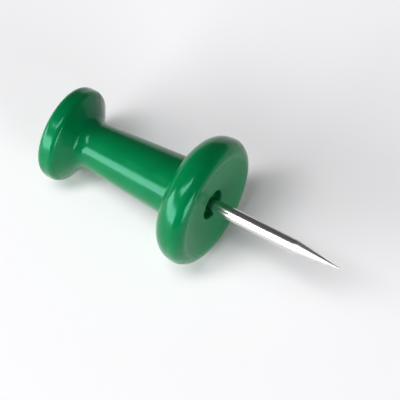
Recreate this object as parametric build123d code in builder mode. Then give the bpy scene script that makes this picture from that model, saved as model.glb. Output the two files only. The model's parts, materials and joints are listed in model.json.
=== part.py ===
# Push pin: a spool-shaped plastic handle moulded around the tail of a steel needle.
# Millimetres. The pin lies on a table, touching it with the rims of its thumb disc and its collar.
# +Z is up, +X runs from the thumb disc to the point, and the origin is on the table under the middle.
import os
from math import asin, atan2, cos, hypot, sin, tan

from build123d import *

# Handle: lengths are along the pin's axis, from the thumb face
head_length = 13.0
thumb_disc_diameter = 7.0
thumb_disc_thickness = 1.2
thumb_disc_edge = 0.45
flare_height = 1.15
flare_fillet = 0.9
stem_diameter_at_disc = 3.4
stem_diameter_at_collar = 4.5

# Collar: the thickness is at its edge, and the slope is how far its back runs on to the stem
collar_diameter = 9.6
collar_thickness = 2.25
collar_slope = 0.6
collar_fillet = 0.3
shoulder_edge = 1.45
rim_edge = 0.9

# Underside of the collar: a flat seat at the rim, a shallow dish, and a recess around the needle
seat_width = 0.6
dish_depth = 0.3
recess_diameter = 2.2
recess_depth = 0.6

# Needle: the reach is from the seat to the point, the cover is the plastic behind the tail
needle_diameter = 1.0
needle_reach = 10.0
point_length = 3.5
point_flat = 0.08
needle_cover = 4.5
tail_thickness = 0.65
tail_shoulder = 0.9

thumb_disc_radius = thumb_disc_diameter / 2
stem_radius_at_disc = stem_diameter_at_disc / 2
stem_radius_at_collar = stem_diameter_at_collar / 2
collar_radius = collar_diameter / 2
needle_radius = needle_diameter / 2
tail_width = needle_diameter**2 / tail_thickness
pin_length = head_length + needle_reach
dish_bottom = head_length - dish_depth
recess_bottom = dish_bottom - recess_depth

# The back of the collar meets its side in a rounded shoulder
collar_back = head_length - collar_thickness
collar_foot = collar_back - collar_slope
back_angle = atan2(collar_radius - stem_radius_at_collar, collar_slope)
shoulder_station = collar_back + shoulder_edge * tan(back_angle / 2)

# The table is the common tangent of the disc's edge and the shoulder, so the axis rises to the point
edge_centre = thumb_disc_radius - thumb_disc_edge
along = shoulder_station - thumb_disc_edge
across = (collar_radius - shoulder_edge) - edge_centre
rise = atan2(across, along) - asin((thumb_disc_edge - shoulder_edge) / hypot(along, across))
face_height = edge_centre * cos(rise) - thumb_disc_edge * sin(rise) + thumb_disc_edge
back_end = thumb_disc_edge * cos(rise) - edge_centre * sin(rise) - thumb_disc_edge
front_end = pin_length * cos(rise)

# Profiles are drawn on this plane: x along the axis from the thumb face, y out from the axis
axis_plane = Plane(
    origin=(-(back_end + front_end) / 2, 0, face_height),
    x_dir=(cos(rise), 0, sin(rise)),
    z_dir=(0, -1, 0),
)
pin_axis = Axis(axis_plane.origin, axis_plane.x_dir)
mouth_plane = Plane(
    origin=axis_plane.from_local_coords(Vector(recess_bottom, 0, 0)),
    x_dir=(0, 1, 0),
    z_dir=axis_plane.x_dir,
)
tail_plane = mouth_plane.offset(-tail_shoulder)

os.makedirs("parts", exist_ok=True)

# Needle: wire ground to a point. Inside the plastic it is coined to an oval of the same area, which
# widens from the mouth inwards, so the needle can't turn or pull out
point_start = pin_length - point_length
tail_length = recess_bottom - tail_shoulder - needle_cover
with BuildPart() as needle:
    with BuildSketch(axis_plane):
        with BuildLine():
            Polyline(
                (recess_bottom, 0),
                (recess_bottom, needle_radius),
                (point_start, needle_radius),
                (pin_length, point_flat / 2),
                (pin_length, 0),
                close=True,
            )
        make_face()
    revolve(axis=pin_axis)
    with BuildSketch(mouth_plane):
        Circle(needle_radius)
    with BuildSketch(tail_plane):
        Ellipse(tail_width / 2, tail_thickness / 2)
    loft()
    with BuildSketch(tail_plane):
        Ellipse(tail_width / 2, tail_thickness / 2)
    extrude(amount=-tail_length)

# Handle: thumb disc, stem and collar in one moulding, filled around the needle
seat_inside = collar_radius - rim_edge - seat_width
with BuildPart() as handle:
    with BuildSketch(axis_plane):
        with BuildLine():
            FilletPolyline(
                (0, 0),
                (0, thumb_disc_radius),
                (thumb_disc_thickness, thumb_disc_radius),
                (thumb_disc_thickness + flare_height, stem_radius_at_disc),
                (collar_foot, stem_radius_at_collar),
                (collar_back, collar_radius),
                (head_length, collar_radius),
                (head_length, seat_inside),
                radius=[
                    thumb_disc_edge,
                    thumb_disc_edge,
                    flare_fillet,
                    collar_fillet,
                    shoulder_edge,
                    rim_edge,
                ],
            )
            Polyline(
                (head_length, seat_inside),
                (dish_bottom, recess_diameter / 2),
                (recess_bottom, recess_diameter / 2),
                (recess_bottom, 0),
                (0, 0),
            )
        make_face()
    revolve(axis=pin_axis)
    add(needle.part, mode=Mode.SUBTRACT)

needle.part.label = "needle"
export_step(needle.part, "parts/needle.step")

handle.part.label = "handle"
export_step(handle.part, "parts/handle.step")
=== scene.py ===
import json
from math import cos, radians, sin

import bpy
import numpy as np
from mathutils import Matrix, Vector


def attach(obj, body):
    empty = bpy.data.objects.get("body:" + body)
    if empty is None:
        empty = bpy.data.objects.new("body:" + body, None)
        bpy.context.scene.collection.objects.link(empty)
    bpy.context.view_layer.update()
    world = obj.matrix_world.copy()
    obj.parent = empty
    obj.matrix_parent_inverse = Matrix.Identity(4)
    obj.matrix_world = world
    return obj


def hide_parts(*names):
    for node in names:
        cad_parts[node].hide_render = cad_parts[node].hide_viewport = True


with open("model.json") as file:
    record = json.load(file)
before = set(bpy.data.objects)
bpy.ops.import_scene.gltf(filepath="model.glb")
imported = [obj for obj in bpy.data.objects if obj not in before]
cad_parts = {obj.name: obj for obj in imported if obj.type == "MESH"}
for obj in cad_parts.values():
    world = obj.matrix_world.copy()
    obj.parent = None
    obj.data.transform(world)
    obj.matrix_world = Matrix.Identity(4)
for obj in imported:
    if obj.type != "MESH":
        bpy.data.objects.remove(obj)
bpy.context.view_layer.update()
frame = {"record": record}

# Needle: a length of hard steel wire, plated bright and ground to a slim point at one end. The other
# end is coined to an oval of the same area, and the handle is moulded around that oval, which is all
# that holds it. Sizes are in millimetres, and stations along the pin's axis start at the thumb face.
mm = 0.001
mounts = {mount["name"]: mount for mount in frame["record"]["mounts"]}
thumb_face = np.array(mounts["thumb_face"]["pos_m"])
along = -np.array(mounts["thumb_face"]["axis"])
along /= np.linalg.norm(along)
sideways = np.array([0.0, 1.0, 0.0])
upwards = np.cross(along, sideways)

wire_radius = 0.5
tail_half_height = 0.325
tail_half_width = wire_radius**2 / tail_half_height
tail_chamfer = 0.06
tail_end = 4.5
tail_neck = 11.2
mouth = 12.1
point_start = 19.5
point_end = 23.0
point_flat = 0.04
point_blend = 3.0
tip_round = 0.03
ground_fade = 0.3

wire_columns = 64
wire_arc_points = 12
neck_rings = 9
tail_step = 0.5
shank_step = 0.25


def rounded(corners, radii, points):
    """A line of (station, radius) points through the corners, with an arc in place of each inner corner.

    An arc starts and ends radius / tan(half the corner's angle) from the corner. Its centre is on the
    corner's bisector, radius / sin(half the angle) away, and its points turn evenly about that centre.
    """
    corners = np.array(corners, float)
    radii = np.array(radii, float)[:, None]
    inner = corners[1:-1]
    back = corners[:-2] - inner
    back /= np.linalg.norm(back, axis=1, keepdims=True)
    ahead = corners[2:] - inner
    ahead /= np.linalg.norm(ahead, axis=1, keepdims=True)
    half = np.arccos(np.sum(back * ahead, axis=1, keepdims=True)) / 2
    bisector = (back + ahead) / (2 * np.cos(half))
    centre = inner + bisector * radii / np.sin(half)
    first = inner + back * radii / np.tan(half) - centre
    last = inner + ahead * radii / np.tan(half) - centre
    turn = np.pi - 2 * half
    share = np.linspace(0, 1, points)
    from_first = np.sin(turn * (1 - share))[..., None] * first[:, None]
    to_last = np.sin(turn * share)[..., None] * last[:, None]
    arcs = centre[:, None] + (from_first + to_last) / np.sin(turn)[..., None]
    return np.concatenate([corners[:1], arcs.reshape(-1, 2), corners[-1:]])


def filled_in(line, step):
    """The same line with even marks one step apart added between its own points, by distance along it."""
    reach = np.concatenate([[0], np.cumsum(np.linalg.norm(np.diff(line, axis=0), axis=1))])
    marks = np.arange(step, reach[-1], step)
    clear = np.abs(marks[:, None] - reach).min(axis=1) > step / 3
    places = np.sort(np.concatenate([reach, marks[clear]]))
    return np.column_stack([np.interp(places, reach, column) for column in line.T])


def strung_rings(stations, half_widths, half_heights, angles):
    """Rings of points strung on the pin's axis, as rows by columns by 3, in metres.

    A point is the middle of the thumb face, plus the station along the axis, plus the half width times
    the angle's cosine sideways, plus the half height times its sine upwards.
    """
    return thumb_face + mm * (
        stations[..., None] * along
        + (half_widths * np.cos(angles))[..., None] * sideways
        + (half_heights * np.sin(angles))[..., None] * upwards
    )


def closed_skin(name, rings, first_station, last_station):
    """A smooth mesh over rings of points, closed at both ends.

    Four-sided faces go all the way round between one ring and the next, and a fan closes each end at a
    point on the pin's axis. Rings that run on from one another face outwards.
    """
    rows, columns = rings.shape[:2]
    here = np.arange(columns)
    beyond = (here + 1) % columns
    low = (np.arange(rows - 1) * columns)[:, None]
    high = low + columns
    bands = np.stack([low + here, low + beyond, high + beyond, high + here], axis=-1).reshape(-1, 4)
    first_pole = np.full(columns, rows * columns)
    last_ring = (rows - 1) * columns
    first_fan = np.stack([first_pole, beyond, here], axis=-1)
    last_fan = np.stack([first_pole + 1, last_ring + here, last_ring + beyond], axis=-1)
    poles = thumb_face + mm * np.array([[first_station], [last_station]]) * along
    mesh = bpy.data.meshes.new(name)
    points = np.concatenate([rings.reshape(-1, 3), poles])
    mesh.from_pydata(points.tolist(), [], bands.tolist() + first_fan.tolist() + last_fan.tolist())
    mesh.polygons.foreach_set("use_smooth", np.ones(len(mesh.polygons), bool))
    mesh.update()
    piece = bpy.data.objects.new(name, mesh)
    bpy.context.scene.collection.objects.link(piece)
    return piece


def mark_rows(piece, name, values, columns):
    """A number for every point of a skin, the same all round a ring, for the piece's material to read."""
    numbers = np.concatenate([np.repeat(values, columns), values[[0, -1]]])
    piece.data.attributes.new(name, "FLOAT", "POINT").data.foreach_set("value", numbers)


class Finish:
    """A node material and its shader, with the few kinds of step that the finishes here are made of."""

    def __init__(self, name):
        self.material = bpy.data.materials.new(name)
        self.material.use_nodes = True
        self.tree = self.material.node_tree
        self.shader = self.tree.nodes["Principled BSDF"]

    def set(self, node, inputs):
        """Each named input of a node is linked to an output, or set to a plain value."""
        for socket, value in inputs.items():
            if isinstance(value, bpy.types.NodeSocket):
                self.tree.links.new(value, node.inputs[socket])
            else:
                node.inputs[socket].default_value = value

    def add(self, kind, output, inputs, **settings):
        """A new node with its settings and inputs, given as the one output that is used."""
        node = self.tree.nodes.new(kind)
        for setting, value in settings.items():
            setattr(node, setting, value)
        self.set(node, inputs)
        return node.outputs[output]

    def noise(self, place, scale, detail):
        """A soft random value from 0 to 1 at each place."""
        return self.add("ShaderNodeTexNoise", "Fac", {"Vector": place, "Scale": scale, "Detail": detail})

    def stretch(self, value, low, high, to_low, to_high):
        """The stretch from low to high taken to the one from to_low to to_high, and held at its ends."""
        ends = {"From Min": low, "From Max": high, "To Min": to_low, "To Max": to_high}
        return self.add("ShaderNodeMapRange", "Result", {"Value": value, **ends})

    def ramp(self, value, low, low_colour, high, high_colour):
        """A colour that goes from one to the other as the value goes from low to high."""
        colour = self.add("ShaderNodeValToRGB", "Color", {"Fac": value})
        first, last = colour.node.color_ramp.elements
        first.position = low
        first.color = low_colour
        last.position = high
        last.color = high_colour
        return colour


tail = np.array([[tail_end, tail_chamfer], [tail_end + tail_chamfer, 0], [tail_neck, 0]])
tail = filled_in(tail, tail_step)
neck_share = np.linspace(0, 1, neck_rings + 1)[1:]
shank = rounded(
    [(mouth, wire_radius), (point_start, wire_radius), (point_end, point_flat), (point_end, 0)],
    [point_blend, tip_round],
    wire_arc_points,
)
shank = filled_in(shank, shank_step)[1:-1]
needle_stations = np.concatenate([tail[:, 0], tail_neck + (mouth - tail_neck) * neck_share, shank[:, 0]])
neck_widths = tail_half_width + (wire_radius - tail_half_width) * neck_share
neck_heights = tail_half_height + (wire_radius - tail_half_height) * neck_share
needle_widths = np.concatenate([tail_half_width - tail[:, 1], neck_widths, shank[:, 1]])
needle_heights = np.concatenate([tail_half_height - tail[:, 1], neck_heights, shank[:, 1]])
wire_angles = np.linspace(0, 2 * np.pi, wire_columns, endpoint=False)
needle_rings = strung_rings(
    needle_stations[:, None], needle_widths[:, None], needle_heights[:, None], wire_angles
)
needle = closed_skin("needle_wire", needle_rings, tail_end, point_end)
ground = np.clip((needle_stations - point_start) / ground_fade + 0.5, 0, 1)
mark_rows(needle, "ground", ground, wire_columns)

# Drawing leaves fine lines along the wire, and the grinding wheel leaves duller ones round the point
steel = Finish("plated_wire")
pin_slope = float(np.arctan2(along[2], along[0]))
place = steel.add("ShaderNodeTexCoord", "Object", {})
place = steel.add("ShaderNodeMapping", "Vector", {"Vector": place, "Rotation": (0, pin_slope, 0)})
drawn = steel.add("ShaderNodeMapping", "Vector", {"Vector": place, "Scale": (150, 9000, 9000)})
drawn = steel.noise(drawn, scale=1, detail=3)
wheel = steel.add("ShaderNodeMapping", "Vector", {"Vector": place, "Scale": (14000, 900, 900)})
wheel = steel.noise(wheel, scale=1, detail=2)
ground_here = steel.add("ShaderNodeAttribute", "Fac", {}, attribute_name="ground")
marks = steel.add("ShaderNodeMix", "Result", {"Factor": ground_here, "A": drawn, "B": wheel})
plate_shine = steel.stretch(drawn, 0.3, 0.7, 0.18, 0.25)
wheel_shine = steel.stretch(wheel, 0.3, 0.7, 0.32, 0.40)
shine = steel.add("ShaderNodeMix", "Result", {"Factor": ground_here, "A": plate_shine, "B": wheel_shine})
tint = steel.ramp(marks, 0.25, (0.60, 0.59, 0.57, 1), 0.7, (0.78, 0.77, 0.75, 1))
relief = steel.add("ShaderNodeBump", "Normal", {"Height": marks, "Strength": 0.25, "Distance": 0.000002})
steel.set(steel.shader, {"Base Color": tint, "Metallic": 1.0, "Roughness": shine, "Normal": relief})
needle.data.materials.append(steel.material)
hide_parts("needle")
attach(needle, "root")

# Handle: thumb disc, stem and round-shouldered collar in one shot of coloured plastic, moulded around
# the needle's tail in a mould that opens in two halves, which leaves a fine raised line down each side.
# Under the collar are a flat seat at the rim, a shallow dish, and a recess where the needle comes out.
disc_radius = 3.5
disc_thickness = 1.2
disc_edge = 0.45
flare_end = 2.35
flare_round = 0.9
stem_radius_at_disc = 1.7
stem_radius_at_collar = 2.25
collar_foot = 10.15
collar_back = 10.75
collar_radius = 4.8
collar_round = 0.3
shoulder_round = 1.45
rim_round = 0.9
seat = 13.0
seat_width = 0.6
seat_soft = 0.3
dish_bottom = 12.7
recess_radius = 1.1
recess_lip = 0.12
recess_corner = 0.1
mould_line_height = 0.025
mould_line_width = 0.06
mould_line_angle = radians(24)
disc_wear_reach = 0.5
collar_wear_reach = 0.6

handle_columns = 160
handle_arc_points = 18
handle_step = 0.3
mould_line_columns = 17
mould_line_zone = radians(4)
face_margin = 0.02

turned_line = rounded(
    [
        (0, 0),
        (0, disc_radius),
        (disc_thickness, disc_radius),
        (flare_end, stem_radius_at_disc),
        (collar_foot, stem_radius_at_collar),
        (collar_back, collar_radius),
        (seat, collar_radius),
        (seat, collar_radius - rim_round - seat_width),
        (dish_bottom, recess_radius),
        (mouth, recess_radius),
        (mouth, wire_radius),
    ],
    [
        disc_edge,
        disc_edge,
        flare_round,
        collar_round,
        shoulder_round,
        rim_round,
        seat_soft,
        recess_lip,
        recess_corner,
    ],
    handle_arc_points,
)
turned_line = filled_in(turned_line, handle_step)[1:]

# Round the axis the columns are closer together at the two mould lines
even_turn = np.linspace(0, 2 * np.pi, handle_columns, endpoint=False)
near_line = mould_line_zone * np.linspace(-1, 1, mould_line_columns) ** 3
angles = np.concatenate([even_turn, mould_line_angle + near_line, mould_line_angle + np.pi + near_line])
angles = np.unique(np.round(angles, 4))
off_line = np.abs((angles - mould_line_angle + np.pi / 2) % np.pi - np.pi / 2)
stations = turned_line[:, :1]
radius = turned_line[:, 1:]
underside = (stations > mouth - face_margin) & (radius < collar_radius - rim_round)
moulded_side = (stations > face_margin) & ~underside
ridge = mould_line_height * np.exp(-((radius * off_line / mould_line_width) ** 2)) * moulded_side
turned_rings = strung_rings(stations, radius + ridge, radius + ridge, angles)

# The socket has the needle's own oval, so the two meet with no gap
socket = (needle_stations < mouth - face_margin) & (needle_stations > tail_end)
socket_rings = strung_rings(
    needle_stations[socket][::-1, None],
    needle_widths[socket][::-1, None],
    needle_heights[socket][::-1, None],
    angles,
)
handle = closed_skin("handle_moulding", np.concatenate([turned_rings, socket_rings]), 0, tail_end)
disc_rim = (turned_line - (disc_edge, disc_radius)) / disc_wear_reach
collar_rim = (turned_line - (seat - rim_round, collar_radius)) / collar_wear_reach
edge_wear = np.exp(-(disc_rim**2).sum(axis=1)) + np.exp(-(collar_rim**2).sum(axis=1))
no_marks = np.zeros(socket.sum())
mark_rows(handle, "edge_wear", np.concatenate([edge_wear, no_marks]), len(angles))
mark_rows(handle, "underside", np.concatenate([underside[:, 0], no_marks]), len(angles))

# The gloss is duller in broad smudges, at fine scuffs on the two rims, and under the collar
plastic = Finish("green_moulding")
place = plastic.add("ShaderNodeTexCoord", "Object", {})
swirl = plastic.noise(place, scale=420, detail=3)
peel = plastic.noise(place, scale=2600, detail=2)
grain = plastic.noise(place, scale=11000, detail=2)
colour = plastic.ramp(swirl, 0.3, (0.0, 0.124, 0.036, 1), 0.7, (0.0, 0.154, 0.047, 1))
smudge = plastic.stretch(swirl, 0.35, 0.65, 0.12, 0.19)
worn_here = plastic.add("ShaderNodeAttribute", "Fac", {}, attribute_name="edge_wear")
scuff = plastic.stretch(grain, 0.56, 0.7, 0, 0.12)
gloss = plastic.add("ShaderNodeMath", "Value", {0: worn_here, 1: scuff, 2: smudge}, operation="MULTIPLY_ADD")
under_here = plastic.add("ShaderNodeAttribute", "Fac", {}, attribute_name="underside")
gloss = plastic.add("ShaderNodeMath", "Value", {0: under_here, 1: 0.25, 2: gloss}, operation="MULTIPLY_ADD")
relief = plastic.add("ShaderNodeBump", "Normal", {"Height": peel, "Strength": 0.4, "Distance": 0.000008})
plastic.set(
    plastic.shader,
    {
        "Base Color": colour,
        "Roughness": gloss,
        "Normal": relief,
        "IOR": 1.5,
        "Specular IOR Level": 0.34,
        "Specular Tint": (0.35, 1.0, 0.82, 1),
        "Subsurface Weight": 0.1,
        "Subsurface Radius": (0.2, 1.0, 0.5),
        "Subsurface Scale": 0.0006,
    },
)
handle.data.materials.append(plastic.material)
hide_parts("handle")
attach(handle, "root")

# Table: a plain sheet of white paper that the pin lies on, there for the picture only and no part of
# the pin. Its size is in metres, and so are those of the lights and their distances from the pin.
table_half = 3.0
table_corners = [
    (-table_half, -table_half, 0),
    (table_half, -table_half, 0),
    (table_half, table_half, 0),
    (-table_half, table_half, 0),
]
table_mesh = bpy.data.meshes.new("table")
table_mesh.from_pydata(table_corners, [], [(0, 1, 2, 3)])
table = bpy.data.objects.new("table", table_mesh)
bpy.context.scene.collection.objects.link(table)
paper = Finish("white_paper")
paper.set(paper.shader, {"Base Color": (0.90, 0.89, 0.91, 1), "Roughness": 0.7})
table.data.materials.append(paper.material)

# Light and camera: faint white light all round, a soft window low at the front left, a small light
# overhead, a small lamp above the window for the collar's second highlight, and a low fill in front of
# the point. The camera looks down on the pin from the side of its point.
azimuth = radians(32.6)
elevation = radians(62.7)
to_camera = Vector((sin(azimuth) * cos(elevation), -cos(azimuth) * cos(elevation), sin(elevation)))
view_middle = Vector((0.0003, 0, 0.0045))
view_width = 0.028
camera = bpy.data.objects.new("camera", bpy.data.cameras.new("camera"))
camera.data.sensor_width = 36
camera.data.lens = 200
camera.data.clip_start = 0.01
camera.location = view_middle + to_camera * view_width * camera.data.lens / camera.data.sensor_width
camera.rotation_euler = to_camera.to_track_quat("Z", "Y").to_euler()
bpy.context.scene.collection.objects.link(camera)
bpy.context.scene.camera = camera
bpy.context.scene.view_settings.view_transform = "Standard"

studio = bpy.data.worlds.new("studio")
studio.use_nodes = True
studio.node_tree.nodes["Background"].inputs["Color"].default_value = (1, 1, 1, 1)
studio.node_tree.nodes["Background"].inputs["Strength"].default_value = 0.10
bpy.context.scene.world = studio


def softbox(name, direction, distance, width, height, watts):
    """A soft rectangular light at a distance from the pin, in a direction, facing it."""
    light = bpy.data.lights.new(name, "AREA")
    light.shape = "RECTANGLE"
    light.size = width
    light.size_y = height
    light.energy = watts
    lamp = bpy.data.objects.new(name, light)
    aim = Vector(direction).normalized()
    lamp.location = view_middle + aim * distance
    lamp.rotation_euler = aim.to_track_quat("Z", "Y").to_euler()
    bpy.context.scene.collection.objects.link(lamp)


softbox("window", (-0.60, -0.745, 0.265), distance=0.60, width=0.68, height=0.27, watts=5.9)
softbox("overhead", (-0.13, -0.19, 0.97), distance=0.70, width=0.20, height=0.20, watts=1.2)
softbox("lamp", (-0.35, -0.38, 0.86), distance=0.70, width=0.16, height=0.24, watts=1.4)
softbox("fill", (0.92, -0.33, 0.20), distance=0.70, width=0.36, height=0.30, watts=3.0)
